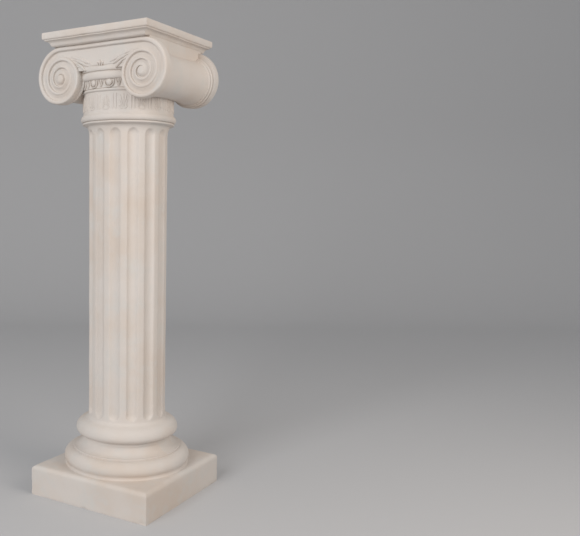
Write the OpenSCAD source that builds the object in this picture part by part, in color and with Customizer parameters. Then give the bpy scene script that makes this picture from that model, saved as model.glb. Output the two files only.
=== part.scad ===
// Ionic column pedestal, cast in one piece of plaster.
// Origin at the middle of the underside, +Z up. The two scrolled faces look along -Y and +Y,
// and the bolsters that join front scroll to back scroll lie on -X and +X.

/* [Overall] */
// Height from the floor to the top of the abacus
column_h = 1000; // [850:5:1300]
// Radius of the shaft between its flared ends
shaft_r = 85.5; // [70:0.5:105]

/* [Plinth and base] */
// Height of the square plinth
plinth_h = 65; // [45:1:90]
// How far the plinth stands out past the lower torus
plinth_margin = 11.4; // [4:0.2:30]
// Height of the rounding along the plinth's top edges
plinth_round_h = 10; // [4:0.5:16]
// Width of the rounding along the plinth's top edges
plinth_round_w = 12; // [4:0.5:16]
// Height of the lower torus below its widest line
low_torus_foot_h = 17; // [12:0.5:26]
// Height of the lower torus above its widest line
low_torus_head_h = 19; // [14:0.5:30]
// How far the lower torus stands out past the shaft
low_torus_out = 54.4; // [46:0.1:70]
// Height of the hollow scotia between the two tori
scotia_h = 20.5; // [12:0.5:30]
// Height of each narrow fillet beside the scotia
base_fillet_h = 3.2; // [1:0.1:5]
// How far the fillet under the scotia stands out past the shaft
scotia_foot_out = 33.8; // [30:0.1:42]
// How far the fillet over the scotia stands out past the shaft
scotia_head_out = 14.4; // [8:0.1:20]
// How far the upper torus stands out past the shaft
high_torus_out = 28; // [22:0.1:36]
// Height of the upper torus below its widest line
high_torus_foot_h = 16.5; // [12:0.5:24]
// Height of the shoulder from the widest line up to the shaft
high_torus_head_h = 22; // [16:0.5:34]

/* [Shaft] */
// Number of flutes
flute_count = 14; // [10:1:20]
// Width of a flute at the face of the shaft
flute_w = 23.4; // [10:0.2:25]
// Depth of a flute
flute_depth = 6.5; // [3:0.1:8]
// Plain height between the base and the foot of the flutes
flute_foot_gap = 6; // [3:0.5:20]
// Plain height between the head of the flutes and the capital
flute_head_gap = 16; // [12:0.5:30]
// Turn of the first flute from the front, in degrees
flute_turn = 15.4; // [0:0.1:25]
// How far the shaft flares out at its foot
foot_flare = 2.6; // [1:0.1:4]
// Height of the flare at the foot
foot_flare_h = 46; // [20:1:60]
// How far the shaft flares out at its head
head_flare = 13; // [8:0.5:14]
// Height of the flare at the head
head_flare_h = 26; // [14:1:40]

/* [Necking and rings] */
// Height of the fillet and astragal at the foot of the capital
astragal_h = 16; // [12:0.5:24]
// How far the astragal stands out past the shaft
astragal_out = 17.5; // [16.5:0.5:24]
// Height of the carved necking
neck_h = 43.5; // [30:0.5:60]
// How far the necking stands out past the shaft
neck_out = 12.5; // [10:0.5:16]
// Number of carved panels round the necking, and of eggs over them
panel_count = 16; // [12:1:18]
// How far the necking carving stands up
panel_relief = 1.6; // [1:0.1:3]
// Height of the bead under the eggs
bead_h = 6.5; // [4:0.5:9]
// Height of the egg ring
egg_h = 17.5; // [12:0.5:24]
// Radius of an egg
egg_r = 8; // [5:0.5:9]
// Height of the swelling band over the eggs
band_h = 16; // [10:0.5:22]
// How far the swelling band stands out past the shaft
band_out = 23; // [18:0.5:26]
// Height of the plain ledge over the swelling band
ledge_h = 13; // [8:0.5:18]

/* [Scrolled faces] */
// Height of the sunk channel between the two scrolls
channel_h = 36.5; // [30:0.5:44]
// Depth of the sunk channels
channel_depth = 6; // [3:0.5:9]
// Height of the raised rim over the channel
rim_h = 9.5; // [6:0.5:14]
// How far a scrolled face stands out past the shaft
face_out = 24.5; // [20:0.5:40]
// How far the eye of a scroll stands out past the shaft
eye_out = 18; // [12:0.1:30]
// Radius of a scroll straight above its eye
scroll_r = 66.2; // [55:0.1:78]
// Radius of the round eye
eye_r = 13; // [8:0.5:16]
// Share of the distance to the next turn that the raised ridge takes
ridge_share = 0.45; // [0.3:0.05:0.6]
// Thickness of a scroll behind its face
scroll_t = 12; // [8:0.5:18]

/* [Bolsters] */
// Radius of a bolster half way between its scrolls
waist_r = 44; // [36:0.5:48]
// Radius of a bolster beside its beads
bolster_r = 48; // [44:0.5:52]
// Width of each of the two beads beside a scroll
bolster_bead_w = 5; // [3:0.5:8]
// How far each bead steps out past the last
bolster_bead_step = 3; // [1:0.5:4]

/* [Abacus] */
// Height of the flat slab on top
slab_h = 13; // [8:0.5:20]
// How far the slab stands out past the scrolled faces
slab_out = 22.8; // [16:0.1:32]
// Height of the hollow moulding under the slab
cavetto_h = 14.5; // [10:0.5:20]
// Width of the flat soffit outside the hollow moulding
soffit_w = 3; // [1:0.5:8]
// How far the foot of the hollow moulding stands out past the scrolled faces
cavetto_foot_out = 10.5; // [4:0.5:12]

/* [Hidden] */
plaster = "#ded6cd";
round_fn = 64;
overlap = 0.5;
// How deep a carved piece is rooted in the face behind it
root = 5;
arc_steps = 8;

// levels, from the floor up
low_torus_z = plinth_h + low_torus_foot_h;
scotia_z = low_torus_z + low_torus_head_h + base_fillet_h;
high_torus_foot_z = scotia_z + scotia_h + base_fillet_h;
high_torus_z = high_torus_foot_z + high_torus_foot_h;
shaft_foot_z = high_torus_z + high_torus_head_h;

// levels, from the top down
slab_z = column_h - slab_h;
rim_top_z = slab_z - cavetto_h;
channel_top_z = rim_top_z - rim_h;
ledge_top_z = channel_top_z - channel_h;
band_top_z = ledge_top_z - ledge_h;
egg_top_z = band_top_z - band_h;
bead_top_z = egg_top_z - egg_h;
neck_top_z = bead_top_z - bead_h;
astragal_top_z = neck_top_z - neck_h;
shaft_top_z = astragal_top_z - astragal_h;

// radii and half widths
low_torus_r = shaft_r + low_torus_out;
scotia_foot_r = shaft_r + scotia_foot_out;
scotia_head_r = shaft_r + scotia_head_out;
high_torus_r = shaft_r + high_torus_out;
foot_r = shaft_r + foot_flare;
head_r = shaft_r + head_flare;
astragal_r = shaft_r + astragal_out;
neck_r = shaft_r + neck_out;
band_r = shaft_r + band_out;
egg_ring_r = band_r - egg_r + 1;
plinth_half = low_torus_r + plinth_margin;
face_y = shaft_r + face_out;
floor_y = face_y - channel_depth;
eye_x = shaft_r + eye_out;
eye_z = rim_top_z - scroll_r;
slab_half = face_y + slab_out;
cavetto_half = face_y + cavetto_foot_out;

// A flute is cut by a round bar whose circle gives the flute its width and its depth.
flute_edge_r = sqrt(shaft_r * shaft_r - flute_w * flute_w / 4);
flute_sag = flute_depth - (shaft_r - flute_edge_r);
flute_bar_r = (flute_w * flute_w / 4 + flute_sag * flute_sag) / (2 * flute_sag);
flute_bar_x = shaft_r - flute_depth + flute_bar_r;
flute_foot_z = shaft_foot_z + flute_foot_gap + flute_w / 2;
flute_head_z = shaft_top_z - flute_head_gap - flute_w / 2;

// The scroll closes in on its eye as a spiral: each turn is a fixed share tighter.
scroll_pull = 0.3;
scroll_sink = 20;
scroll_turns = 3;
scroll_lead = 0.04;
scroll_steps = 16;
function scroll_edge(turn) = (scroll_r + scroll_sink) * exp(-scroll_pull * turn) - scroll_sink;
function ridge_w(turn) = ridge_share * (scroll_edge(turn) - scroll_edge(turn + 1));
function scroll_point(turn, r) = [r * sin(360 * turn), r * cos(360 * turn)];
function turns_to(last) = [for (turn = [-scroll_lead : 1 / scroll_steps : last]) turn];

// Points along part of an ellipse, from one angle to another
function arc(mid_r, mid_z, rad_r, rad_z, from, to) =
    [for (i = [0 : arc_steps])
        let (a = from + (to - from) * i / arc_steps)
        [mid_r + rad_r * cos(a), mid_z + rad_z * sin(a)]];

// A square body with the same moulded edge on all four sides, given by half of its section
module square_moulding(half) {
    length = 2 * max([for (p = half) p[0]]) + 2;
    section = concat(half, [for (i = [len(half) - 1 : -1 : 0]) [-half[i][0], half[i][1]]]);
    intersection() {
        rotate([90, 0, 0]) linear_extrude(length, center = true) polygon(section);
        rotate([90, 0, 90]) linear_extrude(length, center = true) polygon(section);
    }
}

module plinth() {
    square_moulding(concat([[plinth_half, 0]], arc(plinth_half - plinth_round_w,
        plinth_h - plinth_round_h, plinth_round_w, plinth_round_h, 0, 90)));
}

// Everything that is turned about the column's axis, from the lower torus to the ledge
module turned_body() {
    head_z = shaft_top_z - head_flare_h;
    astragal_z = shaft_top_z + astragal_h / 2;
    low_swell = low_torus_r - scotia_foot_r;
    rotate_extrude($fn = 2 * round_fn) polygon(concat(
        [[0, plinth_h - overlap], [scotia_foot_r, plinth_h - overlap]],
        arc(scotia_foot_r, low_torus_z, low_swell, low_torus_foot_h, -90, 0),
        arc(scotia_foot_r, low_torus_z, low_swell, low_torus_head_h, 10, 90),
        arc(scotia_foot_r, scotia_z + scotia_h, scotia_head_r - scotia_foot_r, scotia_h, 270, 360),
        [[scotia_head_r, high_torus_foot_z]],
        arc(scotia_head_r, high_torus_z, high_torus_r - scotia_head_r, high_torus_foot_h, -90, 0),
        arc(foot_r, high_torus_z, high_torus_r - foot_r, high_torus_head_h, 10, 90),
        arc(foot_r, shaft_foot_z + foot_flare_h, shaft_r - foot_r, foot_flare_h, -80, 0),
        [[shaft_r, head_z]],
        arc(head_r, head_z, shaft_r - head_r, head_flare_h, 10, 90),
        [[astragal_r - 3.5, shaft_top_z], [astragal_r - 3.5, shaft_top_z + 3]],
        arc(neck_r, astragal_z, astragal_r - neck_r, astragal_h / 2, -45, 90),
        [[neck_r, neck_top_z]],
        arc(neck_r, neck_top_z + bead_h / 2, bead_h / 2, bead_h / 2, -90, 90),
        [[egg_ring_r, bead_top_z], [egg_ring_r, egg_top_z], [band_r - 2, egg_top_z]],
        arc(band_r - 2, egg_top_z + band_h / 2, 2, band_h / 2, -90, 90),
        [[band_r, band_top_z], [band_r, ledge_top_z + overlap], [0, ledge_top_z + overlap]]));
}

module flute_bar() {
    translate([flute_bar_x, 0, flute_foot_z])
        cylinder(h = flute_head_z - flute_foot_z, r = flute_bar_r, $fn = round_fn);
    for (z = [flute_foot_z, flute_head_z])
        translate([flute_bar_x, 0, z]) sphere(flute_bar_r, $fn = round_fn);
}

module flutes() {
    for (i = [0 : flute_count - 1])
        rotate(i * 360 / flute_count + flute_turn - 90) flute_bar();
}

// One carved panel of the necking: a round flower between two upright strips
module neck_panel() {
    strip_w = 3;
    strip_margin = 4;
    strip_gap = 0.6 * 180 / panel_count;
    flower_r = neck_h / 5;
    for (side = [-1, 1]) rotate(side * strip_gap)
        translate([neck_r - root, -strip_w / 2, astragal_top_z + strip_margin])
            cube([root + panel_relief, strip_w, neck_h - 2 * strip_margin]);
    translate([neck_r - root, 0, astragal_top_z + neck_h / 2]) rotate([0, 90, 0])
        cylinder(h = root + panel_relief, r = flower_r, $fn = round_fn);
}

module egg() {
    egg_sink = 2;
    translate([egg_ring_r - egg_sink, 0, bead_top_z + egg_h / 2]) sphere(egg_r, $fn = round_fn);
}

module dart() {
    dart_w = 2.4;
    translate([egg_ring_r - root, -dart_w / 2, bead_top_z + 1])
        cube([root + egg_r / 2, dart_w, egg_h]);
}

module ring_carving() {
    pitch = 360 / panel_count;
    for (i = [0 : panel_count - 1]) rotate(i * pitch) {
        rotate(pitch / 4) neck_panel();
        rotate(pitch / 2) egg();
        dart();
    }
}

// The scroll at the right of the front face, seen along +Y
module scroll() {
    body_turns = turns_to(1);
    ridge_turns = turns_to(scroll_turns);
    last = len(ridge_turns) - 1;
    translate([eye_x, 0, eye_z]) rotate([90, 0, 0]) {
        translate([0, 0, floor_y - scroll_t]) linear_extrude(scroll_t)
            polygon([for (t = body_turns) scroll_point(t, scroll_edge(t))]);
        translate([0, 0, floor_y - overlap]) linear_extrude(channel_depth + overlap)
            polygon(concat(
                [for (t = ridge_turns) scroll_point(t, scroll_edge(t))],
                [for (i = [last : -1 : 0])
                    let (t = ridge_turns[i]) scroll_point(t, scroll_edge(t) - ridge_w(t))]));
        translate([0, 0, floor_y - overlap])
            cylinder(h = channel_depth + overlap, r = eye_r, $fn = round_fn);
    }
}

module scrolls() {
    for (x = [0, 1], y = [0, 1]) mirror([x, 0, 0]) mirror([0, y, 0]) scroll();
}

// A spool that runs from the back of the front scroll to the back of the rear scroll
module bolster() {
    end_y = floor_y - scroll_t + overlap;
    bead_y = [for (i = [0 : 2]) end_y - i * bolster_bead_w];
    swell = bolster_r - waist_r;
    half = [for (i = [0 : arc_steps])
        let (y = bead_y[2] * (1 - i / arc_steps))
        [bolster_r - swell * (1 - pow(y / bead_y[2], 2)), y]];
    side = concat(
        [[bolster_r + 2 * bolster_bead_step, bead_y[0]], [bolster_r + 2 * bolster_bead_step, bead_y[1]],
            [bolster_r + bolster_bead_step, bead_y[1]], [bolster_r + bolster_bead_step, bead_y[2]]],
        half);
    mirrored = [for (i = [len(side) - 2 : -1 : 0]) [side[i][0], -side[i][1]]];
    translate([eye_x, 0, eye_z]) rotate([90, 0, 0]) rotate_extrude($fn = round_fn)
        polygon(concat([[0, end_y]], side, mirrored, [[0, -end_y]]));
}

module bolsters() {
    for (x = [0, 1]) mirror([x, 0, 0]) bolster();
}

// The core of the capital, with the sunk channel and the raised rim on its front and back
module scroll_block() {
    reach = eye_x - overlap;
    translate([-reach, -floor_y, ledge_top_z])
        cube([2 * reach, 2 * floor_y, rim_top_z + overlap - ledge_top_z]);
    translate([-reach, -face_y, channel_top_z])
        cube([2 * reach, 2 * face_y, rim_h]);
    translate([-cavetto_half, -floor_y + scroll_t, eye_z])
        cube([2 * cavetto_half, 2 * (floor_y - scroll_t), rim_top_z + overlap - eye_z]);
}

module abacus() {
    hollow_run = slab_half - soffit_w - cavetto_half;
    hollow_bend = 1.4;
    square_moulding(concat(
        [for (i = [0 : arc_steps])
            let (up = i / arc_steps)
            [cavetto_half + hollow_run * pow(up, hollow_bend), rim_top_z + cavetto_h * up]],
        [[slab_half, slab_z], [slab_half, column_h]]));
}

module column() {
    color(plaster) {
        plinth();
        difference() {
            turned_body();
            flutes();
        }
        ring_carving();
        scroll_block();
        scrolls();
        bolsters();
        abacus();
    }
}

column();
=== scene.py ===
# %% [markdown]
# # An Ionic column pedestal, cast in plaster
#
# The real object is one casting, probably hollow, about a metre tall. From the floor up it has
# a square plinth, a base of two round tori with a hollow between them, a fluted shaft, a carved
# necking, a ring of eggs, two scrolled faces joined by bolsters, and a square abacus on top.
#
# A learner could model it as many loose objects, but a casting has no seams. So each part is
# made here as a closed solid of its own, with the tool that suits its shape, and all of them
# are melted into one skin at the end. Sizes are in millimetres while the parts are drawn, and
# each mesh is made in metres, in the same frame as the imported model.

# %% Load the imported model
import math

import bmesh
import bpy
from mathutils import Matrix, Vector, noise


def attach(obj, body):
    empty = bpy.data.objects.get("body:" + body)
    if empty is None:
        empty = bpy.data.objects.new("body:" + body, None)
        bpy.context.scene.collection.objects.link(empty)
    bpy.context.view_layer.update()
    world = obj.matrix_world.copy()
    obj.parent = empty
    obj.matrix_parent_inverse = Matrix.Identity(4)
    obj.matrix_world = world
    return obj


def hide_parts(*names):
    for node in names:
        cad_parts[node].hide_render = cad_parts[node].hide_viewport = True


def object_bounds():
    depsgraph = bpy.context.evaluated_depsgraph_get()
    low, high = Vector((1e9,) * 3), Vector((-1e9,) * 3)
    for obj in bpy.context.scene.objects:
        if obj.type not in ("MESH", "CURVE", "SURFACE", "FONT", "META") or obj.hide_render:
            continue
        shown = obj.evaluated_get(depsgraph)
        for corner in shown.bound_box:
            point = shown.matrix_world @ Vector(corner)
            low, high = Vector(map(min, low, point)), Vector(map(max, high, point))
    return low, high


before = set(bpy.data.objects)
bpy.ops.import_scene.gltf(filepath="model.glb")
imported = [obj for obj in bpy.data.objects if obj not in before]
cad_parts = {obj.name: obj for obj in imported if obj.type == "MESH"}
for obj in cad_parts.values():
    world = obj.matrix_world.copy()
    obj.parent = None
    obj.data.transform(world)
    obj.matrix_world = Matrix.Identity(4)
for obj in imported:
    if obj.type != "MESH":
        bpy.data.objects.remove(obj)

cad_low, cad_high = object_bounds()
scene = bpy.context.scene
MM = 0.001
column_h = (cad_high.z - cad_low.z) / MM
plinth_half = cad_high.y / MM
print("packed model:", sorted(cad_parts), "height", round(column_h, 1), "mm")

# %% [markdown]
# ## The camera
#
# The column is seen from its right front corner, a little under the capital, so the eye looks
# up at the scrolls and down on the plinth. The shift slides the picture sideways without
# turning the camera, which leaves the column in the left half. The camera is made first, so
# that every later step can be looked at from here.

# %% Camera
EYE = Vector((949.2, -1381.9, 645.9)) * MM
HEADING, PITCH, ROLL = 33.18, -4.97, 0.41
camera_data = bpy.data.cameras.new("camera")
camera_data.sensor_width = 36
camera_data.lens = 47.09
camera_data.shift_x = 0.25
camera = bpy.data.objects.new("camera", camera_data)
scene.collection.objects.link(camera)
camera.matrix_world = (
    Matrix.Translation(EYE)
    @ Matrix.Rotation(math.radians(HEADING), 4, "Z")
    @ Matrix.Rotation(math.radians(90 + PITCH), 4, "X")
    @ Matrix.Rotation(math.radians(ROLL), 4, "Z")
)
scene.camera = camera
print("camera at", [round(v, 3) for v in EYE])

# %% [markdown]
# ## Drawing helpers
#
# Almost every part of a classical column is a section that is swept: round the axis for the
# tori and rings, round a square for the plinth and abacus. So the first helpers turn lists of
# points into closed meshes. `solid` welds points that meet, which closes the poles of a turned
# part, and turns the faces outwards. `arc` and `refined` draw the sections themselves.

# %% Closed meshes from points
WELD = 0.004 * MM


def solid(name, points, faces):
    """A closed mesh from points in millimetres."""
    mesh = bpy.data.meshes.new(name)
    mesh.from_pydata([(x * MM, y * MM, z * MM) for x, y, z in points], [], faces)
    shell = bmesh.new()
    shell.from_mesh(mesh)
    bmesh.ops.remove_doubles(shell, verts=shell.verts, dist=WELD)
    bmesh.ops.recalc_face_normals(shell, faces=shell.faces)
    open_edges = sum(1 for edge in shell.edges if len(edge.link_faces) != 2)
    if open_edges:
        print("  open edges in", name, open_edges)
    shell.to_mesh(mesh)
    shell.free()
    piece = bpy.data.objects.new(name, mesh)
    scene.collection.objects.link(piece)
    return piece


def grid_faces(rows, columns, closed=True):
    """Quads between rows of points; a closed grid also joins its last column to its first."""
    wide = columns if closed else columns - 1
    faces = []
    for row in range(rows - 1):
        for column in range(wide):
            right = (column + 1) % columns
            near, far = row * columns, (row + 1) * columns
            faces.append((near + column, near + right, far + right, far + column))
    return faces


print("points closer than", WELD, "m are welded")

# %% Sections from arcs and straight runs
def arc(middle, size, start, end, steps=10):
    """Points along part of an ellipse, between two angles in degrees."""
    points = []
    for step in range(steps + 1):
        angle = math.radians(start + (end - start) * step / steps)
        across = middle[0] + size[0] * math.cos(angle)
        points.append((across, middle[1] + size[1] * math.sin(angle)))
    return points


def refined(section, longest):
    """The same section, with points added where two of them are far apart."""
    points = [section[0]]
    for start, end in zip(section, section[1:]):
        pieces = max(1, math.ceil(math.dist(start, end) / longest))
        for piece in range(1, pieces + 1):
            share = piece / pieces
            across = start[0] + (end[0] - start[0]) * share
            points.append((across, start[1] + (end[1] - start[1]) * share))
    return points


print("a quarter arc:", len(arc((0, 0), (1, 1), 0, 90)), "points")

# %% Turned and square mouldings
def turned(name, section, steps=128, place=None):
    """A section of (radius, height) turned about the column's axis, or where place puts it."""
    place = place or (lambda r, angle, up: (r * math.cos(angle), r * math.sin(angle), up))
    points = []
    for radius, height in section:
        for step in range(steps):
            points.append(place(radius, 2 * math.pi * step / steps, height))
    return solid(name, points, grid_faces(len(section), steps))


def squared(name, section, side_steps=44, worn=None):
    """A section of (half width, height) carried round a square, with flat ends."""
    points = []
    for half, height in section:
        for side in range(4):
            turn = Matrix.Rotation(side * math.pi / 2, 2)
            for step in range(side_steps):
                along = -half + 2 * half * step / side_steps
                x, y = turn @ Vector((along, -half))
                points.append((x, y, height))
    if worn:
        points = [worn(Vector(point)) for point in points]
    ring = 4 * side_steps
    faces = grid_faces(len(section), ring)
    faces.append(tuple(reversed(range(ring))))
    faces.append(tuple(range((len(section) - 1) * ring, len(section) * ring)))
    return solid(name, points, faces)


def lumps(point, per_mm, seed=(0, 0, 0)):
    """Smooth noise at a point, between about -1 and 1; per_mm says how fine it is."""
    return noise.noise(point * per_mm + Vector(seed))


print("noise at one point:", round(lumps(Vector((1, 2, 3)), 0.1), 3))

# %% [markdown]
# ## The plinth
#
# The plinth is the flat square block that the column stands on. Its top edges were rounded off
# in the mould, its corners stayed nearly sharp, and its lower edge is a little ragged where the
# plaster met the casting board. It could be a cube with a bevel, but a bevel rounds the upright
# corners too, so the section is drawn and carried round a square. The ragged edge comes from
# smooth noise that pulls the lowest points in by a millimetre or two.

# %% Plinth
plinth_h = 65
plinth_round = (10, 9)
ragged_h, corner_zone = 7, 5
chip_depth, fray_depth = 9, 1.1


def ragged_foot(point):
    """Nibbles the lowest edge of the plinth and blunts its corners."""
    reach = max(0.0, 1 - point.z / ragged_h)
    chip = max(0.0, lumps(point, 0.06, (4, 1, 0)) - 0.3) * chip_depth
    fray = max(0.0, lumps(point, 0.16) + 0.1) * fray_depth
    at_corner = min(abs(point.x), abs(point.y)) > plinth_half - corner_zone
    blunt = 0.4 + 0.6 * lumps(point, 0.11, (3, 3, 3)) if at_corner else 0.0
    keep = 1 - (reach * (chip + fray) + blunt) / plinth_half
    return Vector((point.x * keep, point.y * keep, point.z))


round_foot_z = plinth_h - plinth_round[1]
flat_half = plinth_half - plinth_round[0]
hidden_half = 100
plinth_section = [(plinth_half, height) for height in (0, 0.8, 2, 4, ragged_h)]
plinth_section += refined([(plinth_half, ragged_h), (plinth_half, round_foot_z)], 8)[1:]
plinth_section += arc((flat_half, round_foot_z), plinth_round, 0, 90, 8)[1:]
plinth_section += refined([(flat_half, plinth_h), (hidden_half, plinth_h)], 8)[1:]
plinth = squared("plinth", plinth_section, 48, ragged_foot)
print("plinth:", round(2 * plinth_half, 1), "mm square,", len(plinth.data.polygons), "faces")

# %% [markdown]
# ## The base
#
# Above the plinth comes the Attic base: a wide torus, a narrow flat fillet, a hollow called the
# scotia, a taller fillet and a smaller torus, whose shoulder runs up into the shaft. On the
# real column they were turned in the clay model, so turning one section here gives the same
# shape. The section is a chain of arcs, each a part of an ellipse, with a small lip at the foot
# where the plaster runs out on the plinth.

# %% Base
shaft_r = 85.5
foot_r = shaft_r + 2.6
low_torus_r, low_torus_z, low_foot_h = 139.9, 82, 17
scotia_foot_r, scotia_z, scotia_h = 119.3, 104.2, 20.5
scotia_head_r = 98
high_torus_r, high_torus_z = 113.5, 144.4
low_fillet_h, high_fillet_h = 3.2, 6.9
shaft_foot_z = 166.4

swell = low_torus_r - scotia_foot_r
low_head_h = scotia_z - low_fillet_h - low_torus_z
scotia_top_z = scotia_z + scotia_h
scotia_size = (scotia_head_r - scotia_foot_r, scotia_h)
fillet_r = scotia_head_r + 1.4
high_foot_z = scotia_top_z + high_fillet_h
high_foot_size = (high_torus_r - scotia_head_r, high_torus_z - high_foot_z)
high_head_size = (high_torus_r - foot_r, shaft_foot_z - high_torus_z)

lip = [(0, -3), (139.5, -3), (138.6, 0.1), (137, 0.9), (135.9, 2.2), (135.5, 4)]
base_section = [(radius, plinth_h + rise) for radius, rise in lip]
base_section += arc((scotia_foot_r, low_torus_z), (swell, low_foot_h), -36, 0, 6)
base_section += arc((scotia_foot_r, low_torus_z), (swell, low_head_h), 0, 90, 10)[1:]
base_section += [(scotia_foot_r, scotia_z - 0.8), (scotia_foot_r - 0.8, scotia_z)]
base_section += arc((scotia_foot_r, scotia_top_z), scotia_size, 277, 360, 12)
base_section += [(fillet_r, scotia_top_z), (fillet_r, high_foot_z - 0.4)]
base_section += arc((scotia_head_r, high_torus_z), high_foot_size, -80, 0, 9)
base_section += arc((foot_r, high_torus_z), high_head_size, 0, 60, 8)[1:]
base_section += [(97.6, 164.8), (94.8, 165.8), (92.4, 166.9), (90.3, 168.2), (88.6, 169.8)]
base_section += [(87.3, 171.6), (86.4, 173.6), (85.4, 173.6), (0, 173.6)]
base = turned("base", base_section)
print("base:", len(base_section), "points in the section,", len(base.data.polygons), "faces")

# %% [markdown]
# ## The fluted shaft
#
# The shaft follows a rule from top to bottom: a flared cylinder with fourteen hollow flutes,
# each as wide and deep as the next, and each ending in a round head. Cutting fourteen bars
# from a cylinder would work, but the cut edges come out hard and the mesh untidy. Instead a
# Geometry Nodes tree bends one flat grid round the axis, and works out for every point how far
# the round bar would have cut in. The grid's own lines follow the edges of the flutes, so they
# stay clean, and one soft minimum gives them the slightly blunt edge that plaster has.
#
# Long sums are hard to read as wires. A small class writes them as ordinary arithmetic, and
# makes one Math node for each sign.

# %% Arithmetic for node trees
class Sum:
    """A number inside a node tree that can be added, multiplied and compared."""

    def __init__(self, tree, socket):
        self.tree = tree
        self.socket = socket

    def math(self, operation, *others):
        node = self.tree.nodes.new("ShaderNodeMath")
        node.operation = operation
        for slot, value in zip(node.inputs, (self, *others)):
            if isinstance(value, Sum):
                self.tree.links.new(value.socket, slot)
            else:
                slot.default_value = value
        return Sum(self.tree, node.outputs[0])

    def __add__(self, other):
        return self.math("ADD", other)

    def __sub__(self, other):
        return self.math("SUBTRACT", other)

    def __mul__(self, other):
        return self.math("MULTIPLY", other)

    def __truediv__(self, other):
        return self.math("DIVIDE", other)

    def flipped(self, whole=0.0):
        """whole minus this number."""
        return self.math("MULTIPLY_ADD", -1.0, whole)

    def squared(self):
        return self * self

    def root(self):
        return self.math("MAXIMUM", 0.0).math("SQRT")

    def between(self, low, high):
        return self.math("MAXIMUM", low).math("MINIMUM", high)

    def quarter_round(self):
        """Goes from 0 to 1 along a quarter circle, slowly at first."""
        return self.squared().flipped(1).root().flipped(1)


print("signs that Sum turns into nodes: + - * /")

# %% Starting, ending and running a tree
def new_tree(name, inputs):
    """A geometry tree with named inputs: the tree, its inputs as Sums, and its output node."""
    tree = bpy.data.node_groups.new(name, "GeometryNodeTree")
    tree.interface.new_socket("Geometry", in_out="OUTPUT", socket_type="NodeSocketGeometry")
    tree.interface.new_socket("Geometry", in_out="INPUT", socket_type="NodeSocketGeometry")
    for title, kind in inputs.items():
        tree.interface.new_socket(title, in_out="INPUT", socket_type="NodeSocket" + kind)
    entry = tree.nodes.new("NodeGroupInput")
    leave = tree.nodes.new("NodeGroupOutput")
    sums = {socket.name: Sum(tree, socket) for socket in entry.outputs if socket.name}
    return tree, sums, leave


def finish_tree(tree, geometry, material, leave):
    """Ends a tree in Realize Instances and Set Material."""
    realize = tree.nodes.new("GeometryNodeRealizeInstances")
    paint = tree.nodes.new("GeometryNodeSetMaterial")
    tree.links.new(geometry, realize.inputs["Geometry"])
    tree.links.new(realize.outputs["Geometry"], paint.inputs["Geometry"])
    tree.links.new(material.socket, paint.inputs["Material"])
    tree.links.new(paint.outputs["Geometry"], leave.inputs["Geometry"])


def run_tree(piece, tree, values):
    """Runs a tree on a piece with the given inputs, and keeps the result as a plain mesh."""
    modifier = piece.modifiers.new(tree.name, "NODES")
    modifier.node_group = tree
    for item in tree.interface.items_tree:
        if item.in_out == "INPUT" and item.name in values:
            modifier[item.identifier] = values[item.name]
    layer = bpy.context.evaluated_depsgraph_get()
    made = bpy.data.meshes.new_from_object(piece.evaluated_get(layer))
    piece.modifiers.remove(modifier)
    piece.data = made
    return piece


PLASTER = bpy.data.materials.new("plaster")
print("material for every tree:", PLASTER.name)

# %% [markdown]
# ## The rule of one flute
#
# A flute is the mark that a round bar leaves when it is laid along the shaft and pressed in,
# and the bar's ends are round too. From the flute's width and depth the tree works out the
# bar's radius and where its middle lies. Each column of the grid then gets its angle: the
# first twelve steps lie across the flute, closer together at its edges, and the next six
# across the flat fillet beside it. The rows are crowded where the flute ends, and bend round
# it there, so that the edge of the cut never runs across a square of the grid.

# %% Fluted shaft: its inputs and its flat grid
FLUTE_STEPS, FILLET_STEPS = 12, 6
REPEAT_STEPS = FLUTE_STEPS + FILLET_STEPS
FOOT_ROWS, CAP_ROWS, BODY_ROWS, HEAD_ROWS = 5, 11, 36, 13
ROWS = FOOT_ROWS + 2 * CAP_ROWS + BODY_ROWS + HEAD_ROWS
CLOSING = 2
LINES = ROWS + 2 * CLOSING

number, whole = "Float", "Int"
shaft_tree, size, leave = new_tree("fluted shaft", {
    "Flutes": whole, "Turn": number, "Radius": number, "Flute width": number,
    "Flute depth": number, "Foot": number, "Head": number, "Foot gap": number,
    "Head gap": number, "Foot flare": number, "Foot flare height": number,
    "Head flare": number, "Head flare height": number, "Edge softness": number,
    "Plaster": "Material",
})

columns = size["Flutes"] * REPEAT_STEPS + 1
grid = shaft_tree.nodes.new("GeometryNodeMeshGrid")
shaft_tree.links.new(columns.socket, grid.inputs["Vertices X"])
grid.inputs["Vertices Y"].default_value = LINES + 1
spot = shaft_tree.nodes.new("GeometryNodeInputPosition")
split = shaft_tree.nodes.new("ShaderNodeSeparateXYZ")
shaft_tree.links.new(spot.outputs[0], split.inputs[0])
from_left = Sum(shaft_tree, split.outputs["X"]) + 0.5
column = (from_left * size["Flutes"] * REPEAT_STEPS).math("ROUND")
line = ((Sum(shaft_tree, split.outputs["Y"]) + 0.5) * LINES).math("ROUND")
row = (line - CLOSING).between(0, ROWS)
print("grid lines from foot to head:", LINES + 1)

# %% Fluted shaft: how far each row has gone
CROWDING = 1.5


def share_of_rows(first, count):
    """How far a row has gone through a zone of rows, from 0 to 1."""
    return ((row - first) / count).between(0, 1)


in_foot = share_of_rows(0, FOOT_ROWS)
in_low_cap = share_of_rows(FOOT_ROWS, CAP_ROWS).math("POWER", CROWDING)
in_body = share_of_rows(FOOT_ROWS + CAP_ROWS, BODY_ROWS)
in_high_cap = share_of_rows(FOOT_ROWS + CAP_ROWS + BODY_ROWS, CAP_ROWS)
in_high_cap = in_high_cap.flipped(1).math("POWER", CROWDING).flipped(1)
in_head = (share_of_rows(ROWS - HEAD_ROWS, HEAD_ROWS) * (math.pi / 2)).math("SINE")


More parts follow.
